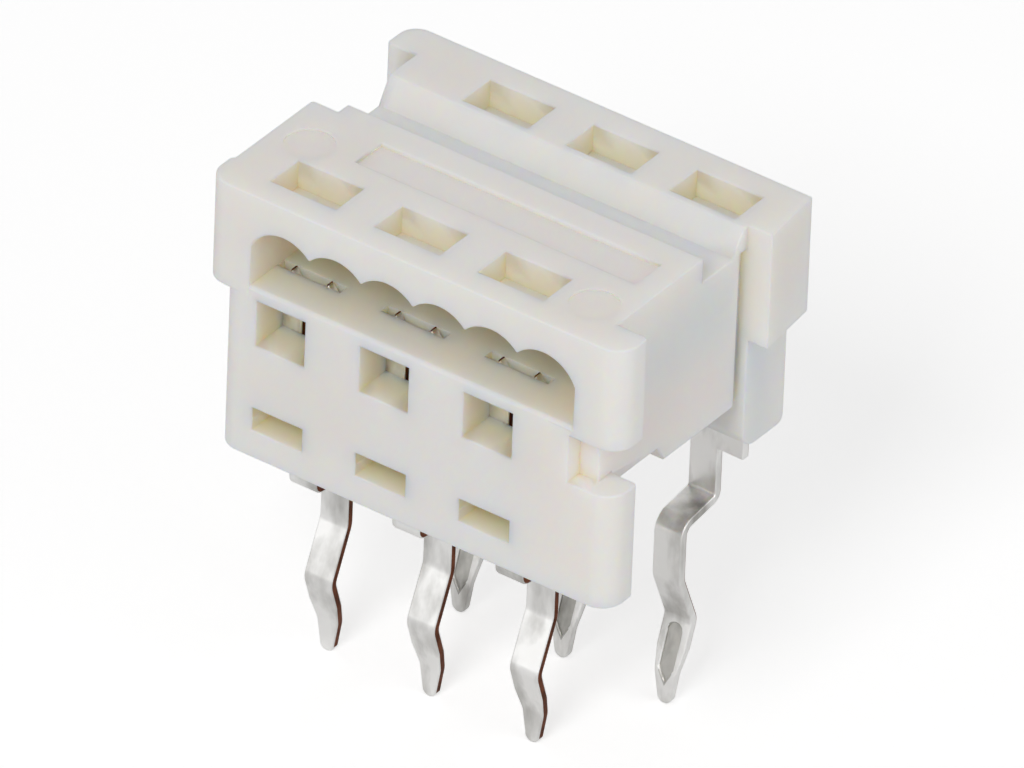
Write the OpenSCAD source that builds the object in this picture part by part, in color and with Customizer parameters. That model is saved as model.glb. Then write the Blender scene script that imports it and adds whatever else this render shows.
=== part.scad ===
// Six-way connector between a flat ribbon cable and a circuit board: one moulded housing
// and six tin-plated fork contacts in two staggered rows of three.
// X runs along the cable slot, Y from the slot side to the back, Z up from the tips of the tails.

/* [Ribbon cable] */
// Spacing of the wires in the ribbon
wire_pitch = 1.27; // [1.2:0.01:1.36]
// Gap between the edge of the ribbon and each end of the slot
slot_side_gap = 0.15; // [0.1:0.01:0.2]
// Radius of the scallops over the wires
scallop_r = 0.85; // [0.78:0.01:1.0]
// Top of the housing to the slot's floor
slot_floor_drop = 2.18; // [2.1:0.01:2.25]
// Gap from the slot's floor to the cusps between the scallops
slot_gap = 1.17; // [1.05:0.01:1.2]
// Length of the scallops, in from the front face
scallop_l = 0.55; // [0.4:0.01:0.6]
// Radius of the edge of the slot's floor at the front face
lip_r = 0.1; // [0.05:0.01:0.15]
// Wall between the slot's inner end and the back face
slot_wall = 0.49; // [0.4:0.01:0.6]

/* [Housing] */
// Depth of the housing, front face to back face
body_d = 6.92; // [6.8:0.01:7.2]
// Height of the housing, from the underside that rests on the contacts to the top
body_h = 5.42; // [5.35:0.01:5.6]
// Wall between the slot's right end and the right side of the core
right_wall = 0.37; // [0.3:0.01:0.5]
// Wall between the slot's left end and the left side of the core
left_wall = 0.42; // [0.35:0.01:0.55]
// Underside of the core over the front of the channel, above the housing's underside
channel_front_h = 1.57; // [1.5:0.01:1.65]
// Underside of the core over the rest of the channel
channel_rear_h = 1.18; // [1.05:0.01:1.3]
// Front face to the step in the core's underside
channel_step_y = 2.45; // [2.2:0.01:2.7]
// Run of the slope at that step
channel_step_run = 0.25; // [0.1:0.01:0.5]

/* [Front plate] */
// Thickness of the plate and of its ears
plate_t = 0.87; // [0.8:0.01:0.9]
// Reach of the ears past the slot's ends
ear_reach = 1.13; // [1.1:0.01:1.3]
// Height of the front ears, down from the top
ear_drop = 2.42; // [2.35:0.01:2.5]
// Reach of the apron's right end past the slot
apron_reach = 1.02; // [0.9:0.01:1.08]
// Length of the apron below the housing's underside
apron_drop = 0.81; // [0.7:0.01:0.95]
// Reach of the apron's left end past the slot
apron_left = 0.7; // [0.6:0.01:0.8]
// Radius of the plate's outer upright edges
end_r = 0.5; // [0.3:0.01:0.6]
// Radius of the small corners
small_r = 0.1; // [0.05:0.01:0.2]
// Depth of the notch under the right ear
notch_h = 1.11; // [1.0:0.01:1.3]
// Reach of the notch in past the end of the slot
notch_in = 0.09; // [0.04:0.01:0.15]
// Thickness of the rib behind the apron that the front contacts stand under
rib_t = 0.75; // [0.7:0.01:0.85]

/* [Left shoulder] */
// Reach of the shoulder past the slot's left end
shoulder_reach = 1.06; // [0.9:0.01:1.09]
// Front face to the back of the shoulder
shoulder_y = 3.46; // [3.2:0.01:3.6]

/* [Back plate] */
// Thickness of the back plate and its skirt
back_t = 1.62; // [1.6:0.01:1.65]
// Height of the back ears, down from the top
back_ear_drop = 2.75; // [2.6:0.01:2.9]
// Reach of the right back ear past the slot, at its front edge
back_ear_front = 0.95; // [0.85:0.01:1.1]
// Reach of the right back ear past the slot, at the back face
back_ear_back = 0.78; // [0.7:0.01:0.84]
// Reach of the skirt's right end past the slot
skirt_reach = 0.46; // [0.4:0.01:0.55]
// Radius of the skirt's upright edge at the right end
skirt_r = 0.35; // [0.2:0.01:0.45]
// Radius of the skirts' lower edges
skirt_foot_r = 0.45; // [0.2:0.01:0.5]
// Width of the slit between the core and the right back ear
slit_w = 0.25; // [0.2:0.01:0.3]
// Depth of that slit, in from the core's right side
slit_in = 0.15; // [0.1:0.01:0.2]

/* [Top face] */
// Front face to the front wall of the long groove
groove_y = 3.79; // [3.7:0.01:3.9]
// Depth of the groove
groove_d = 0.58; // [0.5:0.01:0.62]
// Width of the groove's flat floor
groove_floor = 1.03; // [0.95:0.01:1.05]
// Run of the groove's sloping back wall
groove_slope = 0.34; // [0.3:0.01:0.36]
// Length of the shallow panel in front of the groove
panel_l = 6.82; // [6.4:0.01:7.0]
// Width of that panel
panel_w = 0.86; // [0.7:0.01:0.95]
// Depth of that panel
panel_d = 0.1; // [0.05:0.01:0.15]
// Front face to the front edge of that panel
panel_y = 2.24; // [2.15:0.01:2.35]
// Shift of that panel to the right of the middle
panel_shift = 0.36; // [0.2:0.01:0.45]
// Diameter of the two round ejector marks
mark_d = 1.06; // [0.8:0.01:1.1]
// Depth of the ejector marks
mark_depth = 0.04; // [0.03:0.01:0.06]
// Left mark: to the right of the middle, and in from the front face
mark_left = [-4.14, 2.18]; // [-4.2:0.01:4.2]
// Right mark: to the right of the middle, and in from the front face
mark_right = [3.57, 1.16]; // [-4.2:0.01:4.2]

/* [Pockets in the top] */
// Width of each pocket
pocket_w = 1.6; // [1.5:0.01:1.65]
// Front to back size of each pocket
pocket_d = 0.94; // [0.9:0.01:0.96]
// Wall between the outer face and the pocket
pocket_wall = 0.64; // [0.6:0.01:0.66]
// Depth of each pocket
pocket_depth = 0.66; // [0.55:0.01:0.75]

/* [Contact chambers] */
// Front to back size of each chamber, from the outer face of the contact's slot
chamber_d = 0.62; // [0.5:0.01:0.64]
// Depth of the chamber below the sill of its window
sill_h = 0.15; // [0.05:0.01:0.25]
// Width of each square window
window_w = 1.2; // [1.1:0.01:1.3]
// Height of each square window
window_h = 1.07; // [1.0:0.01:1.1]
// Wall between the slot's floor and the windows under it
window_gap = 0.3; // [0.2:0.01:0.35]
// Width of each narrow slot in the apron
peep_w = 1.23; // [1.1:0.01:1.3]
// Height of each narrow slot
peep_h = 0.54; // [0.45:0.01:0.6]
// Lower edge of the narrow slots, below the housing's underside
peep_drop = 0.165; // [0.1:0.005:0.25]

/* [Contacts] */
// Thickness of the contact strip
strip_t = 0.2; // [0.16:0.01:0.24]
// Clearance between a contact and its slot in the housing, each side
contact_gap = 0.02; // [0.01:0.005:0.04]
// Width of the shank
shank_w = 1.8; // [1.7:0.01:1.82]
// Width of the fork
fork_w = 1.44; // [1.3:0.01:1.5]
// Room for the fork to spread, each side
fork_room = 0.05; // [0.03:0.01:0.08]
// Height of the fork above the end of the shank
fork_l = 0.8; // [0.7:0.01:0.9]
// Rise of the fork's tips above the slot's floor
fork_rise = 0.05; // [0:0.01:0.1]
// Width of the slot that grips the wire
wire_slot_w = 0.3; // [0.24:0.01:0.36]
// Depth of that slot
wire_slot_d = 1.65; // [1.6:0.01:1.7]
// Width across the shoulders that stop under the housing
stop_w = 1.93; // [1.8:0.01:2.0]
// Height of the shoulders
stop_h = 0.58; // [0.5:0.01:0.65]
// Outer face of the housing to the middle of each row of forks
fork_in = 1.06; // [1.03:0.01:1.1]
// Middle of the housing to each row of tails
tail_row = 1.27; // [1.2:0.01:1.35]
// Start of the jog that brings a tail in to its row, as a share of the tail's length downwards
jog_at = 0.281; // [0.25:0.001:0.3]
// Fall of the jog along its run
jog_fall = 0.16; // [0:0.01:0.4]
// Where the kink leaves the row, as a share of the tail's length downwards
kink_from = 0.513; // [0.49:0.001:0.54]
// The point of the kink, as a share of the tail's length downwards
kink_at = 0.7; // [0.68:0.001:0.73]
// Where the kink comes back, as a share of the tail's length downwards
kink_to = 0.885; // [0.85:0.001:0.9]
// Reach of the kink out from the row
kink_out = 0.5; // [0.3:0.01:0.6]
// Middle radius of the tight bend above the jog
tight_r = 0.15; // [0.12:0.01:0.2]
// Middle radius of the bends below the jog and at the point of the kink
bend_r = 0.3; // [0.2:0.01:0.35]
// Middle radius of the soft bends at both ends of the kink
soft_r = 0.5; // [0.3:0.01:0.6]
// Reach of the tips out from the row
tip_out = 0.1; // [0:0.01:0.2]
// Width of the tails
tail_w = 0.68; // [0.6:0.01:0.76]
// Width of the tails at their tips
tip_w = 0.34; // [0.3:0.01:0.45]
// Length of the tapered part of each tail
taper_l = 1.25; // [1.0:0.01:1.5]
// Length of the contacts below the housing's underside
tail_l = 6.33; // [6.2:0.01:6.5]
// Width of the coined hollow on the inner face of each tail
coin_w = 0.34; // [0.2:0.01:0.36]
// Depth of the coined hollow
coin_d = 0.05; // [0.03:0.01:0.08]
// Length of the coined hollow
coin_l = 1.25; // [0.8:0.01:1.3]
// Tip to the lower end of the coined hollow
coin_z = 0.5; // [0.45:0.01:0.6]

/* [Hidden] */
$fn = 40;

cut = 0.1;                                   // how far each cut runs past the face it opens
ways = 6;                                    // wires in the ribbon, one contact each
rows = 2;                                    // rows that the contacts stand in by turns
steps = [0, 1, 2];                           // places in a row, left to right
front_x = [for (i = steps) (rows * i + 0.5 - ways / 2) * wire_pitch];
rear_x = [for (i = steps) -front_x[len(steps) - 1 - i]];
slot_x = ways * wire_pitch / 2 + slot_side_gap;
front = -body_d / 2;
back = body_d / 2;
core_l = -(slot_x + left_wall);
core_r = slot_x + right_wall;
ear_x = slot_x + ear_reach;
seat = tail_l;                               // height of the housing's underside
top = seat + body_h;
slot_z = top - slot_floor_drop;
window_z = slot_z - window_gap - window_h;
chamber_z = window_z - sill_h;
fork_row = body_d / 2 - fork_in;
cusp_z = slot_z + slot_gap;
scallop_rise = scallop_r - sqrt(pow(scallop_r, 2) - pow(wire_pitch / 2, 2));
// Where the end scallops meet the ends of the slot
end_z = cusp_z + scallop_rise - scallop_r
    + sqrt(pow(scallop_r, 2) - pow(slot_x - (ways - 1) * wire_pitch / 2, 2));
notch_x = slot_x - notch_in;                 // left end of the notch
rib_back = front + plate_t + rib_t;
back_plate = back - back_t;                  // front face of the back plate
slit_front = back_plate - slit_w;
groove_front = front + groove_y;
groove_foot = groove_front + groove_floor;
slope_top = groove_foot + groove_slope;
pocket_y = front + pocket_wall + pocket_d / 2;
marks = [mark_left, mark_right];
bend_steps = 5;                              // straight pieces along each bend of a tail

// Solid that follows a section drawn in Y and Z, from x0 to x1
module along_x(x0, x1) {
    translate([x0, 0, 0]) rotate([90, 0, 90]) linear_extrude(x1 - x0) children();
}

// Solid that follows a section drawn in X and Z, from y0 to y1
module along_y(y0, y1) {
    translate([0, y1, 0]) rotate([90, 0, 0]) linear_extrude(y1 - y0) children();
}

// Solid that follows a plan drawn in X and Y, from z0 to z1
module along_z(z0, z1) {
    translate([0, 0, z0]) linear_extrude(z1 - z0) children();
}

// Rectangle between two corners
module area(a, b) {
    translate(a) square(b - a);
}

// What is cut off to round the corner at point p, whose outside lies towards dir
module corner_off(p, dir, r) {
    translate([p[0] - dir[0] * r, p[1] - dir[1] * r]) difference() {
        translate([dir[0] > 0 ? 0 : -r - cut, dir[1] > 0 ? 0 : -r - cut]) square(r + cut);
        circle(r);
    }
}

// Part of the front plate from x0 to x1 and z0 to z1, with well rounded outer upright edges
module plate(x0, x1, z0, z1) {
    along_z(z0, z1) difference() {
        area([x0, front], [x1, front + plate_t]);
        for (s = [-1, 1]) {
            corner_off([s > 0 ? x1 : x0, front], [s, -1], end_r);
            corner_off([s > 0 ? x1 : x0, front + plate_t], [s, 1], small_r);
        }
    }
}

// Front plate: ears above, apron below, notch under the right ear
module front_plate() {
    ear_z = top - ear_drop;
    plate(-ear_x, ear_x, ear_z, top);
    difference() {
        plate(-(slot_x + apron_left), slot_x + apron_reach, seat - apron_drop, ear_z);
        along_y(front - cut, front + plate_t + cut)
            area([notch_x, ear_z - notch_h], [ear_x + cut, ear_z + cut]);
    }
}

// Section of the core across its length: groove in the top, stepped roof of the channel below
module core_section() {
    inside = front + plate_t / 2;
    polygon([
        [inside, top], [groove_front, top], [groove_front, top - groove_d],
        [groove_foot, top - groove_d], [slope_top, top], [back_plate + cut, top],
        [back_plate + cut, seat + channel_rear_h],
        [front + channel_step_y + channel_step_run, seat + channel_rear_h],
        [front + channel_step_y, seat + channel_front_h], [inside, seat + channel_front_h]]);
}

// Shoulder that widens the top on the left, behind the front ear
module shoulder() {
    x = -(slot_x + shoulder_reach);
    along_z(top - ear_drop, top) difference() {
        area([x, front + plate_t / 2], [core_l + cut, front + shoulder_y]);
        corner_off([x, front + shoulder_y], [-1, 1], small_r);
    }
}

// Rib behind the apron, which the front contacts stop under
module rib() {
    along_x(-(slot_x + skirt_reach), notch_x) difference() {
        area([front + plate_t / 2, seat], [rib_back, seat + channel_front_h + cut]);
        corner_off([rib_back, seat], [1, -1], skirt_foot_r);
    }
}

// Upper part of the back plate, with a thin ear on the left and a slanted one on the right
module back_top() {
    ear_l = -ear_x;
    along_z(top - back_ear_drop, top) difference() {
        union() {
            polygon([
                [core_l, slope_top], [core_r, slope_top], [core_r, back_plate],
                [slot_x + back_ear_front, back_plate], [slot_x + back_ear_back, back],
                [core_l, back]]);
            area([ear_l, back - plate_t], [core_l + cut, back]);
        }
        corner_off([ear_l, back], [-1, 1], plate_t / 2);
        corner_off([ear_l, back - plate_t], [-1, -1], small_r);
    }
}

// Skirt of the back plate, which the rear contacts stop under
module back_skirt() {
    right = slot_x + skirt_reach;
    intersection() {
        along_z(seat, top - back_ear_drop + cut) difference() {
            area([-notch_x, back_plate], [right, back]);
            corner_off([right, back], [1, 1], skirt_r);
        }
        along_x(-notch_x, right) difference() {
            area([back_plate, seat], [back, top]);
            corner_off([back, seat], [1, -1], skirt_foot_r);
            corner_off([back_plate, seat], [-1, -1], skirt_foot_r);
        }
    }
}

// Ribbon slot: scalloped over each wire at the mouth, plain behind, its floor rounded at the front
module cable_slot() {
    along_y(front - cut, front + scallop_l) {
        area([-slot_x, slot_z], [slot_x, end_z]);
        for (i = [0 : ways - 1]) {
            x = (i + 0.5 - ways / 2) * wire_pitch;
            intersection() {
                translate([x, cusp_z + scallop_rise - scallop_r]) circle(scallop_r);
                area([i == 0 ? -slot_x : x - wire_pitch / 2, slot_z],
                     [i == ways - 1 ? slot_x : x + wire_pitch / 2, cusp_z + scallop_rise]);
            }
        }
    }
    along_y(front - cut, back - slot_wall)
        area([-ways * wire_pitch / 2, slot_z], [ways * wire_pitch / 2, cusp_z]);
    along_y(front + scallop_l - cut, back - slot_wall)
        area([-slot_x, slot_z], [slot_x, cusp_z]);
    along_x(-slot_x, slot_x) corner_off([front, slot_z], [-1, 1], lip_r);
}

// Pocket in the top, over one front contact
module pocket(x) {
    along_z(top - pocket_depth, top + cut)
        area([x - pocket_w / 2, pocket_y - pocket_d / 2], [x + pocket_w / 2, pocket_y + pocket_d / 2]);
}

// Chamber of one front contact, the close slot for the shank under it, and the fork's slot over it
module chamber(x) {
    w = shank_w / 2 + contact_gap;
    t = strip_t / 2 + contact_gap;
    f = fork_w / 2 + fork_room;
    chamber_top = window_z + window_h;
    along_z(chamber_z, chamber_top)
        area([x - w, -fork_row - t], [x + w, -fork_row - t + chamber_d]);
    along_z(seat - cut, chamber_z + cut)
        area([x - w, -fork_row - t], [x + w, -fork_row + t]);
    along_z(chamber_top - cut, slot_z + cut)
        area([x - f, -fork_row - t], [x + f, -fork_row + t]);
}

// Square window and narrow slot in front of one contact
module windows(x) {
    along_y(front - cut, -fork_row) {
        area([x - window_w / 2, window_z], [x + window_w / 2, window_z + window_h]);
        area([x - peep_w / 2, seat - peep_drop], [x + peep_w / 2, seat - peep_drop + peep_h]);
    }
}

module housing() {
    color("ivory") difference() {
        union() {
            front_plate();
            along_x(core_l, core_r) core_section();
            shoulder();
            rib();
            back_top();
            back_skirt();
        }
        cable_slot();
        for (x = front_x) {
            pocket(x);
            chamber(x);
            windows(x);
        }
        for (x = rear_x) rotate([0, 0, 180]) {
            pocket(-x);
            chamber(-x);
        }
        // Slit between the core and the back plate, on the right
        along_z(seat, top - groove_d)
            area([core_r - slit_in, slit_front], [core_r + cut, back_plate]);
        // Shallow panel and ejector marks in the top
        along_z(top - panel_d, top + cut)
            area([panel_shift - panel_l / 2, front + panel_y],
                 [panel_shift + panel_l / 2, front + panel_y + panel_w]);
        for (m = marks) translate([m[0], front + m[1], top - mark_depth])
            cylinder(d = mark_d, h = mark_depth + cut);
    }
}

// Corners of the middle line of a tail: place in Y and Z, radius of the bend there
tail_line = [
    [-fork_row, seat - stop_h, 0], [-fork_row, seat - jog_at * tail_l, tight_r],
    [-tail_row, seat - jog_at * tail_l - jog_fall, bend_r],
    [-tail_row, seat - kink_from * tail_l, soft_r],
    [-tail_row - kink_out, seat - kink_at * tail_l, bend_r],
    [-tail_row - tip_out, seat - kink_to * tail_l, soft_r], [-tail_row - tip_out, 0, 0]];

function unit(v) = v / norm(v);
function flat(p) = [p[0], p[1]];
// Points of the arc that rounds corner b between a and c, with the radius that b gives
function bend_points(a, b, c) =
    let (u = unit(flat(a - b)), w = unit(flat(c - b)), half = acos(u * w) / 2,
         hub = flat(b) + unit(u + w) * b[2] / sin(half),
         p = unit(flat(b) + u * b[2] / tan(half) - hub),
         q = unit(flat(b) + w * b[2] / tan(half) - hub))
    [for (k = [0 : bend_steps]) hub + b[2] * unit(p * (1 - k / bend_steps) + q * k / bend_steps)];
function bent(line) = concat([flat(line[0])],
    [for (i = [1 : len(line) - 2]) each bend_points(line[i - 1], line[i], line[i + 1])],
    [flat(line[len(line) - 1])]);
function across(a, b) = let (d = unit(b - a)) [-d[1], d[0]];
function beside(path, off) = [for (i = [0 : len(path) - 1])
    path[i] + off * across(path[max(i - 1, 0)], path[min(i + 1, len(path) - 1)])];

// Band along the bent line of the tail, from one offset to another
module band(off_a, off_b) {
    path = bent(tail_line);
    far = beside(path, off_a);
    polygon(concat(beside(path, off_b), [for (i = [len(far) - 1 : -1 : 0]) far[i]]));
}

// Tail seen from the front: straight, then tapered to a rounded tip
module tail_view() {
    r = tip_w / 2;
    polygon([[-tail_w / 2, seat - stop_h + cut], [-tail_w / 2, taper_l], [-r, r], [r, r],
             [tail_w / 2, taper_l], [tail_w / 2, seat - stop_h + cut]]);
    translate([0, r]) circle(r);
}

// Flat part of a contact: shoulders, shank and the fork that grips the wire
module blade_view() {
    tip = slot_z + fork_rise;
    neck = tip - fork_l;
    w = fork_w / 2;
    s = wire_slot_w / 2;
    peak = (w + s) / 2;                      // the point of each prong, in its middle
    difference() {
        union() {
            area([-stop_w / 2, seat - stop_h], [stop_w / 2, seat]);
            area([-shank_w / 2, seat - cut], [shank_w / 2, neck]);
            polygon([[-w, neck - cut], [-w, tip - w / 2], [-peak, tip], [0, tip - w], [peak, tip],
                     [w, tip - w / 2], [w, neck - cut]]);
        }
        area([-s, tip - wire_slot_d], [s, tip]);
        translate([0, tip - wire_slot_d]) circle(s);
    }
}

// Outline of the coined hollow: round above, pointed below
module coin_view() {
    r = coin_w / 2;
    translate([0, coin_z + coin_l - r]) circle(r);
    polygon([[-r, coin_z + coin_l - r], [-r, coin_z + coin_w], [0, coin_z], [r, coin_z + coin_w],
             [r, coin_z + coin_l - r]]);
}

// One contact of the front row; the rear row has the same piece turned round
module contact() {
    along_y(-fork_row - strip_t / 2, -fork_row + strip_t / 2) blade_view();
    difference() {
        intersection() {
            along_x(-tail_w / 2, tail_w / 2) band(-strip_t / 2, strip_t / 2);
            along_y(front, 0) tail_view();
        }
        intersection() {
            along_x(-tail_w / 2, tail_w / 2) band(strip_t / 2 - coin_d, strip_t);
            along_y(front, 0) coin_view();
        }
    }
}

module contact_front_left() { color("silver") translate([front_x[0], 0, 0]) contact(); }
module contact_front_middle() { color("silver") translate([front_x[1], 0, 0]) contact(); }
module contact_front_right() { color("silver") translate([front_x[2], 0, 0]) contact(); }
module contact_rear_left() { color("silver") translate([rear_x[0], 0, 0]) rotate([0, 0, 180]) contact(); }
module contact_rear_middle() { color("silver") translate([rear_x[1], 0, 0]) rotate([0, 0, 180]) contact(); }
module contact_rear_right() { color("silver") translate([rear_x[2], 0, 0]) rotate([0, 0, 180]) contact(); }

housing();
contact_front_left();
contact_front_middle();
contact_front_right();
contact_rear_left();
contact_rear_middle();
contact_rear_right();
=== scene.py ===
import math

import bmesh
import bpy
import numpy as np
from mathutils import Matrix, Vector


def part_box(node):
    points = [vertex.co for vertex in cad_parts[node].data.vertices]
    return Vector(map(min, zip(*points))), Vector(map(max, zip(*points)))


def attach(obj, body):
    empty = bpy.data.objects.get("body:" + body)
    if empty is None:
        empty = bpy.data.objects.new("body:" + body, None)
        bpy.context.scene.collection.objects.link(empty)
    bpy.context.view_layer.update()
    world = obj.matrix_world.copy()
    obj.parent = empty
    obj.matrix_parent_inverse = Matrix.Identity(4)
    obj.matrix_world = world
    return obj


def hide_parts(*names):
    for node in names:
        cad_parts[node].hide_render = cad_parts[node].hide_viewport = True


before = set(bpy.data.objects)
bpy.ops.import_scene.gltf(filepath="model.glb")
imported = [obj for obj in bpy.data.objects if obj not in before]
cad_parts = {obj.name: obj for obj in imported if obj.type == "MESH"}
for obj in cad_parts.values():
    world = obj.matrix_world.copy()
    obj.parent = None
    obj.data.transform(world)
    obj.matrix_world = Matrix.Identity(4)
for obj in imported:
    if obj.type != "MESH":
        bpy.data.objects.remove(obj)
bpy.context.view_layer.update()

MM = 0.001

# Housing
# One injection moulding in off-white glass-filled nylon, satin and a little translucent.
# Every corner of the mould leaves a small round on the edges, and the cut-outs stay crisp.
MOULD_ROUND = 0.045                 # radius on the outer edges, in mm
MOULD_SEGMENTS = 3
NYLON_PALE = (0.93, 0.89, 0.875, 1)
NYLON_WARM = (0.91, 0.865, 0.83, 1)
# Painted shade: this warmer, darker tone is painted into corners and recesses by ambient occlusion,
# standing in for shade and for light that has come through the plastic.
NYLON_PAINTED_SHADE = (0.96, 0.85, 0.60, 1)  # in corners, where light has come through the plastic


def merged_copy(node, name, columns):
    """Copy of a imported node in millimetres, its loose triangles joined into flat faces of good shape.
    It is cut at each x in columns first, so that no flat face goes all round a hole."""
    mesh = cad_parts[node].data.copy()
    mesh.name = name
    mesh.transform(Matrix.Scale(1 / MM, 4))
    shape = bmesh.new()
    shape.from_mesh(mesh)
    bmesh.ops.remove_doubles(shape, verts=shape.verts, dist=1e-4)
    for x in columns:
        parts = bmesh.ops.bisect_plane(shape, geom=shape.verts[:] + shape.edges[:] + shape.faces[:],
                                       dist=1e-4, plane_co=(x, 0, 0), plane_no=(1, 0, 0))
        for part in parts["geom_cut"]:
            if isinstance(part, bmesh.types.BMEdge):
                part.seam = True
    flat = math.radians(0.5)
    bmesh.ops.dissolve_limit(shape, angle_limit=flat, verts=shape.verts, edges=shape.edges,
                             delimit={"SEAM"})
    bmesh.ops.triangulate(shape, faces=shape.faces, quad_method="BEAUTY", ngon_method="BEAUTY")
    bmesh.ops.join_triangles(shape, faces=shape.faces, angle_face_threshold=flat,
                             angle_shape_threshold=math.pi)
    shape.to_mesh(mesh)
    shape.free()
    mesh.materials.clear()
    return mesh


def soft_edges(mesh, name, radius, segments, keep_sharp):
    """Object whose outer edges of 25 degrees or more are rounded to radius (mm), back in metres.
    keep_sharp takes the edges' middles, as rows of x, y and z in mm, and says which stay crisp."""
    shape = bmesh.new()
    shape.from_mesh(mesh)
    weight = shape.edges.layers.float.new("bevel_weight_edge")
    middles = np.array([(e.verts[0].co + e.verts[1].co) / 2 for e in shape.edges])
    crisp = keep_sharp(middles)
    for edge, stays in zip(shape.edges, crisp):
        corner = edge.calc_face_angle() > math.radians(25)
        rounded = corner and edge.is_convex and not stays
        edge[weight] = 1.0 if rounded else 0.0
        edge.smooth = rounded or not corner
    for face in shape.faces:
        face.smooth = True
    shape.to_mesh(mesh)
    shape.free()
    work = bpy.data.objects.new(name + "_work", mesh)
    bpy.context.scene.collection.objects.link(work)
    rounding = work.modifiers.new("rounding", "BEVEL")
    rounding.limit_method = "WEIGHT"
    rounding.width = radius
    rounding.segments = segments
    rounding.use_clamp_overlap = False
    rounding.loop_slide = False
    welded = work.modifiers.new("welded", "WELD")
    welded.merge_threshold = 0.001
    evened = work.modifiers.new("evened", "WEIGHTED_NORMAL")
    evened.mode = "FACE_AREA_WITH_ANGLE"
    evened.weight = 80
    evened.keep_sharp = True
    ready = work.evaluated_get(bpy.context.evaluated_depsgraph_get())
    final = bpy.data.meshes.new_from_object(ready)
    bpy.data.objects.remove(work)
    final.name = name
    final.transform(Matrix.Scale(MM, 4))
    piece = bpy.data.objects.new(name, final)
    bpy.context.scene.collection.objects.link(piece)
    return piece


def finish_nodes(name):
    """New material with its shader, and a Noise texture on Object coordinates as needed."""
    material = bpy.data.materials.new(name)
    material.use_nodes = True
    nodes, links = material.node_tree.nodes, material.node_tree.links
    shader = nodes["Principled BSDF"]
    place = nodes.new("ShaderNodeTexCoord")

    def noise(scale, detail=3.0, stretch=(1, 1, 1)):
        mapping = nodes.new("ShaderNodeMapping")
        mapping.inputs["Scale"].default_value = stretch
        links.new(place.outputs["Object"], mapping.inputs["Vector"])
        texture = nodes.new("ShaderNodeTexNoise")
        texture.inputs["Scale"].default_value = scale
        texture.inputs["Detail"].default_value = detail
        links.new(mapping.outputs["Vector"], texture.inputs["Vector"])
        return texture.outputs["Fac"]

    def ramp(value, low, high, from_low=0.35, from_high=0.65):
        span = nodes.new("ShaderNodeMapRange")
        links.new(value, span.inputs["Value"])
        for socket, number in (("From Min", from_low), ("From Max", from_high),
                               ("To Min", low), ("To Max", high)):
            span.inputs[socket].default_value = number
        return span.outputs["Result"]

    def mixed(factor, first, second):
        mix = nodes.new("ShaderNodeMix")
        mix.data_type = "RGBA"
        links.new(factor, mix.inputs["Factor"])
        for socket, colour in ((mix.inputs[6], first), (mix.inputs[7], second)):
            if isinstance(colour, tuple):
                socket.default_value = colour
            else:
                links.new(colour, socket)
        return mix.outputs[2]

    def bump(height, distance, strength=1.0, under=None):
        node = nodes.new("ShaderNodeBump")
        node.inputs["Distance"].default_value = distance
        node.inputs["Strength"].default_value = strength
        links.new(height, node.inputs["Height"])
        if under is not None:
            links.new(under, node.inputs["Normal"])
        return node.outputs["Normal"]

    def openness(reach):
        # Ambient occlusion, with which the nylon paints shade into its corners.
        node = nodes.new("ShaderNodeAmbientOcclusion")
        node.samples = 6
        node.inputs["Distance"].default_value = reach
        return node.outputs["AO"]

    return material, shader, links, noise, ramp, mixed, bump, openness


nylon, shader, links, noise, ramp, mixed, bump, openness = finish_nodes("offwhite_nylon")
flow = noise(260, 2.0)                                   # cloudy tone a few millimetres across
skin = mixed(ramp(flow, 0, 1), NYLON_PALE, NYLON_WARM)
# Painted shade: where ambient occlusion finds the surface closed in, the base colour turns to the
# warmer, darker corner tone.
links.new(mixed(ramp(openness(0.003), 0, 1, 0.05, 0.48), NYLON_PAINTED_SHADE, skin),
          shader.inputs["Base Color"])
grain = noise(14000, 4.0)                                # texture of the mould's spark-eroded face
links.new(ramp(grain, 0.42, 0.58), shader.inputs["Roughness"])
fine = bump(grain, 0.0000018, 0.6)
links.new(bump(flow, 0.00001, 0.3, under=fine), shader.inputs["Normal"])
shader.inputs["IOR"].default_value = 1.5
shader.inputs["Specular IOR Level"].default_value = 0.4
shader.inputs["Subsurface Weight"].default_value = 1.0
shader.inputs["Subsurface Radius"].default_value = (1.0, 0.7, 0.4)
shader.inputs["Subsurface Scale"].default_value = 0.0009

PITCH = 1.27                                             # of the wires and of the openings
COLUMNS = [(i - 2.5) * PITCH for i in range(6)] + [-4.14]
MARKS = ((-4.14, -1.28), (3.57, -2.30))                  # middles of the two ejector marks


def housing_crisp(middles):
    """Crisp are the rims of the ejector marks, the chambers inside and the slots underneath."""
    x, y, z = middles.T
    marks = np.any([np.hypot(x - a, y - b) < 0.6 for a, b in MARKS], axis=0) & (z > 11.6)
    inside = (abs(x) < 4.03) & (abs(y) < 3.0) & (z > 6.34) & (z < 11.7)
    slots = (abs(x) < 3.95) & (abs(y) > 2.2) & (abs(y) < 2.6) & (z < 6.34)
    return marks | inside | slots


housing = soft_edges(merged_copy("housing", "moulded_body", COLUMNS), "moulded_body",
                     MOULD_ROUND, MOULD_SEGMENTS, housing_crisp)
housing.data.materials.append(nylon)
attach(housing, "root")
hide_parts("housing")

# Contacts
# Six stampings in 0.2 mm tin-plated phosphor bronze, three facing each way: a fork that bites the
# wire, a shoulder and a kinked tail. The punch leaves the cut edges bare and copper-brown.
STRIP_ROUND = 0.035                 # rolled-over margin that keeps its tin, in mm
STRIP_SEGMENTS = 2
TIN = (0.93, 0.925, 0.91, 1)
TIN_DULL = (0.42, 0.41, 0.385, 1)
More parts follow.
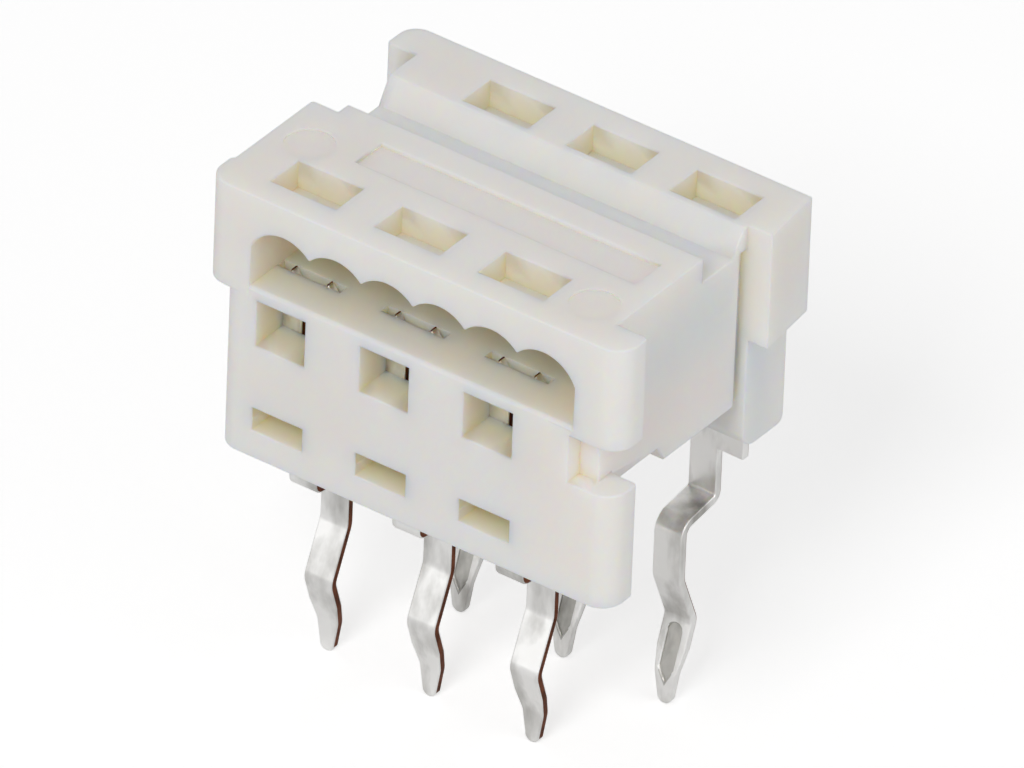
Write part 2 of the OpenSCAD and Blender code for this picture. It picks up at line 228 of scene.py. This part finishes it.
# Painted shade: the next two tones are a darker tin painted into the dimple on each contact's face, for
# the shade that falls inside it.
TIN_PAINTED_HOLLOW_SHADE = (0.60, 0.59, 0.56, 1)
TIN_PAINTED_HOLLOW_DEEP_SHADE = (0.13, 0.125, 0.11, 1)
BRONZE = (0.17, 0.042, 0.010, 1)
BRONZE_DARK = (0.08, 0.022, 0.008, 1)


def plated(name, bright, dull):
    """Tin plate with smears from one tone to the other, dented and specked."""
    material, shader, links, noise, ramp, mixed, bump, _ = finish_nodes(name)
    rolled = noise(1500, 4.0, (1.0, 1.0, 0.35))          # smears along the strip
    specks = noise(5200, 3.0)
    links.new(mixed(ramp(rolled, 0, 1, 0.42, 0.72), bright, dull), shader.inputs["Base Color"])
    links.new(ramp(specks, 0.28, 0.46), shader.inputs["Roughness"])
    dents = bump(rolled, 0.000012, 0.5)
    links.new(bump(specks, 0.000002, 0.5, under=dents), shader.inputs["Normal"])
    shader.inputs["Metallic"].default_value = 1.0
    return material


tin = plated("tin_plate", TIN, TIN_DULL)
# Painted shade: tin for the dimples, in the darker tones.
painted_shade_hollow_tin = plated("painted_hollow_shade_tin", TIN_PAINTED_HOLLOW_SHADE, TIN_PAINTED_HOLLOW_DEEP_SHADE)

bare, shader, links, noise, ramp, mixed, bump, _ = finish_nodes("bare_cut_edge")
torn = noise(6000, 3.0, (1.0, 1.0, 0.4))
links.new(mixed(ramp(torn, 0, 1), BRONZE, BRONZE_DARK), shader.inputs["Base Color"])
links.new(ramp(torn, 0.5, 0.65), shader.inputs["Roughness"])
shader.inputs["Specular IOR Level"].default_value = 0.2
links.new(bump(torn, 0.000006, 0.7), shader.inputs["Normal"])
shader.inputs["Metallic"].default_value = 0.4

NAMES = ("contact_front_left", "contact_front_middle", "contact_front_right",
         "contact_rear_left", "contact_rear_middle", "contact_rear_right")


def frame_middle(node):
    """x of the middle of a contact, in mm."""
    low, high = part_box(node)
    return (low[0] + high[0]) / 2 / MM


for node in NAMES:
    name = "stamped_" + node[8:]
    piece = soft_edges(merged_copy(node, name, ()), name, STRIP_ROUND, STRIP_SEGMENTS,
                       lambda middles: np.zeros(len(middles), bool))
    mesh = piece.data
    for material in (tin, bare, painted_shade_hollow_tin):
        mesh.materials.append(material)
    turned = 1 if "front" in node else -1
    middle = frame_middle(node)
    facing, centre = np.zeros(3 * len(mesh.polygons)), np.zeros(3 * len(mesh.polygons))
    mesh.polygons.foreach_get("normal", facing)
    mesh.polygons.foreach_get("center", centre)
    across, outward, upward = facing.reshape(-1, 3).T
    across, outward = across * turned, -outward * turned
    reach = np.array([max(abs(mesh.vertices[i].co.x / MM - middle) for i in face.vertices)
                      for face in mesh.polygons])
    height = centre[2::3] / MM
    # The dimple's faces get the darker tin, as painted shade.
    hollow = (reach < 0.18) & (height > 0.5) & (height < 1.8)
    burr = (across < -0.8) & (across > -0.95) & (outward > 0.2)
    bite = (height > 9.5) & (upward > 0.2)
    uncoated = (across > 0.95) | burr | bite
    finish = np.where(hollow, 2, np.where(uncoated, 1, 0))
    mesh.polygons.foreach_set("material_index", finish.astype(np.int32))
    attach(piece, "root")
    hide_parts(node)

# Studio
# A plain white sheet under the part, a white room round it and three soft lamps.
# The sheet looks white to the camera and in reflections, and keeps the part's shadow.
floor_mesh = bpy.data.meshes.new("sheet")
side = np.array([-0.5, 0.5])
gx, gy = np.meshgrid(side, side, indexing="ij")
corners = np.stack([gx.ravel(), gy.ravel(), np.full(4, -0.00001)], axis=1)
floor_mesh.from_pydata(corners.tolist(), [], [(0, 2, 3, 1)])
floor = bpy.data.objects.new("sheet", floor_mesh)
bpy.context.scene.collection.objects.link(floor)
paper = bpy.data.materials.new("white_sheet")
paper.use_nodes = True
nodes, links = paper.node_tree.nodes, paper.node_tree.links
shader = nodes["Principled BSDF"]
shader.inputs["Base Color"].default_value = (0.8, 0.8, 0.8, 1)
shader.inputs["Roughness"].default_value = 0.9
rays = nodes.new("ShaderNodeLightPath")
glow = nodes.new("ShaderNodeMath")
glow.operation = "MULTIPLY_ADD"
glow.inputs[1].default_value = 0.45
links.new(rays.outputs["Is Camera Ray"], glow.inputs[0])
mirrored = nodes.new("ShaderNodeMath")
mirrored.operation = "MULTIPLY"
mirrored.inputs[1].default_value = 0.12
links.new(rays.outputs["Is Glossy Ray"], mirrored.inputs[0])
links.new(mirrored.outputs[0], glow.inputs[2])
shader.inputs["Emission Color"].default_value = (1, 1, 1, 1)
links.new(glow.outputs[0], shader.inputs["Emission Strength"])
floor_mesh.materials.append(paper)

world = bpy.data.worlds.new("white_room")
world.use_nodes = True
bpy.context.scene.world = world
nodes, links = world.node_tree.nodes, world.node_tree.links
room = nodes["Background"]
room.inputs["Color"].default_value = (1, 1, 1, 1)
rays = nodes.new("ShaderNodeLightPath")
seen = nodes.new("ShaderNodeMath")
seen.operation = "MAXIMUM"
links.new(rays.outputs["Is Camera Ray"], seen.inputs[0])
links.new(rays.outputs["Is Glossy Ray"], seen.inputs[1])
level = nodes.new("ShaderNodeMapRange")
level.inputs["To Min"].default_value = 0.42
level.inputs["To Max"].default_value = 1.0
links.new(seen.outputs[0], level.inputs["Value"])
links.new(level.outputs["Result"], room.inputs["Strength"])

MIDDLE = Vector((0, 0, 0.0065))


def lamp(name, azimuth, elevation, distance, size, watts):
    """Square soft lamp that looks at the middle of the part, from an azimuth measured from -Y."""
    a, e = math.radians(azimuth), math.radians(elevation)
    way = Vector((math.sin(a) * math.cos(e), -math.cos(a) * math.cos(e), math.sin(e)))
    data = bpy.data.lights.new(name, "AREA")
    data.size = size
    data.energy = watts
    obj = bpy.data.objects.new(name, data)
    obj.location = MIDDLE + way * distance
    obj.rotation_euler = way.to_track_quat("Z", "Y").to_euler()
    bpy.context.scene.collection.objects.link(obj)


lamp("key", 12, 42, 0.3, 0.10, 0.27)
lamp("left_panel", -42, 12, 0.3, 0.3, 0.04)
lamp("right_panel", 88, 10, 0.3, 0.25, 0.19)
lamp("back", 200, 25, 0.3, 0.3, 0.05)

# Camera: a long lens, turned and tilted as in the photograph.
PX = 50.746                          # pixels for each millimetre at the part
right = Vector((41.03, 29.82, 1.68)).normalized()
up = Vector((-18.03, 22.46, 41.78))
up = (up - right * up.dot(right)).normalized()
back = right.cross(up)
corner = Vector((0, -3.46, 11.75))   # middle of the front top edge, seen at pixel (413.6, 265.7)
aim = corner + right * ((512 - 413.6) / PX) - up * ((384 - 265.7) / PX)
DISTANCE = 0.6
camera_data = bpy.data.cameras.new("camera")
camera_data.sensor_width = 36
camera_data.lens = 36 * DISTANCE / (1024 / PX * MM)
camera_data.clip_start = 0.05
camera_data.clip_end = 10
camera = bpy.data.objects.new("camera", camera_data)
turn = Matrix((right, up, back)).transposed().to_4x4()
camera.matrix_world = Matrix.Translation(aim * MM + back * DISTANCE) @ turn
bpy.context.scene.collection.objects.link(camera)
bpy.context.scene.camera = camera
bpy.context.scene.view_settings.view_transform = "Standard"
